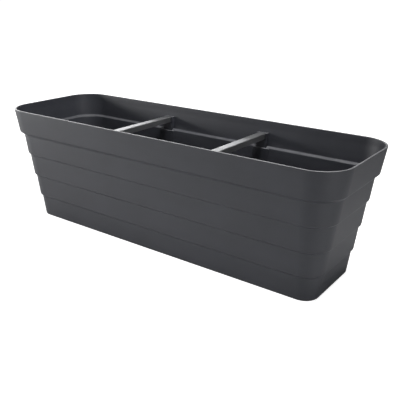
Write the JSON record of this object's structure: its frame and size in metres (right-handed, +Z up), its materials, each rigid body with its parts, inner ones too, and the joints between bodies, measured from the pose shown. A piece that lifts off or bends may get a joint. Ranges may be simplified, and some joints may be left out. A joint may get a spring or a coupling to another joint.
{
  "type": "self watering planter",
  "caption": "Long stepped plastic plant trough with metal spreader braces, slotted separator over a water reservoir, felt wicks, lidded filler tube, float gauge and drain plug.",
  "frame": {"origin": "middle of the footprint, on the surface that the planter stands on", "axes": "+X along the planter's length, -Y the front, +Z up; the drain is at the -X end"},
  "size_m": [0.8, 0.26, 0.253],
  "materials": {
    "trough_plastic": "fine satin grain, anthracite",
    "brace_metal": "bright, lightly brushed",
    "inner_plastic": "matte black",
    "felt": "needled grey felt",
    "clear_plastic": "clear polished",
    "float_foam": "white closed-cell foam",
    "stem_plastic": "white smooth",
    "signal_red": "red glossy",
    "pin_metal": "drawn wire",
    "washer_rubber": "black rubber"
  },
  "bodies": {
    "planter": {"trough": "trough_plastic", "separator_left": "inner_plastic", "separator_right": "inner_plastic", "felt_wick_1": "felt", "felt_wick_2": "felt", "felt_wick_3": "felt", "felt_wick_4": "felt", "filler_tube": "inner_plastic", "filler_lid_pin": "pin_metal", "gauge_tube": "inner_plastic", "gauge_end_cap": "inner_plastic", "gauge_window": "clear_plastic"},
    "left_brace": {"brace_left": "brace_metal"},
    "right_brace": {"brace_right": "brace_metal"},
    "lid": {"filler_lid": "inner_plastic"},
    "float": {"gauge_float": "float_foam", "gauge_stem": "stem_plastic", "gauge_head": "signal_red"},
    "plug": {"drain_plug": "inner_plastic", "drain_washer": "washer_rubber"}
  },
  "joints": [
    {"name": "brace_left_lift", "type": "slide", "parent": "planter", "child": "left_brace", "axis": [0, 0, 1], "range_m": [0, 0.06]},
    {"name": "brace_right_lift", "type": "slide", "parent": "planter", "child": "right_brace", "axis": [0, 0, 1], "range_m": [0, 0.06]},
    {"name": "filler_lid_hinge", "type": "hinge", "parent": "planter", "child": "lid", "pos_m": [-0.296, -0.0895, 0.2184], "axis": [1, 0, 0], "range_deg": [0, 100]},
    {"name": "gauge_float_rise", "type": "slide", "parent": "planter", "child": "float", "axis": [0, 0, 1], "range_m": [0, 0.028]},
    {"name": "drain_plug_pull", "type": "slide", "parent": "planter", "child": "plug", "axis": [-1, 0, 0], "range_m": [0, 0.03]}
  ]
}
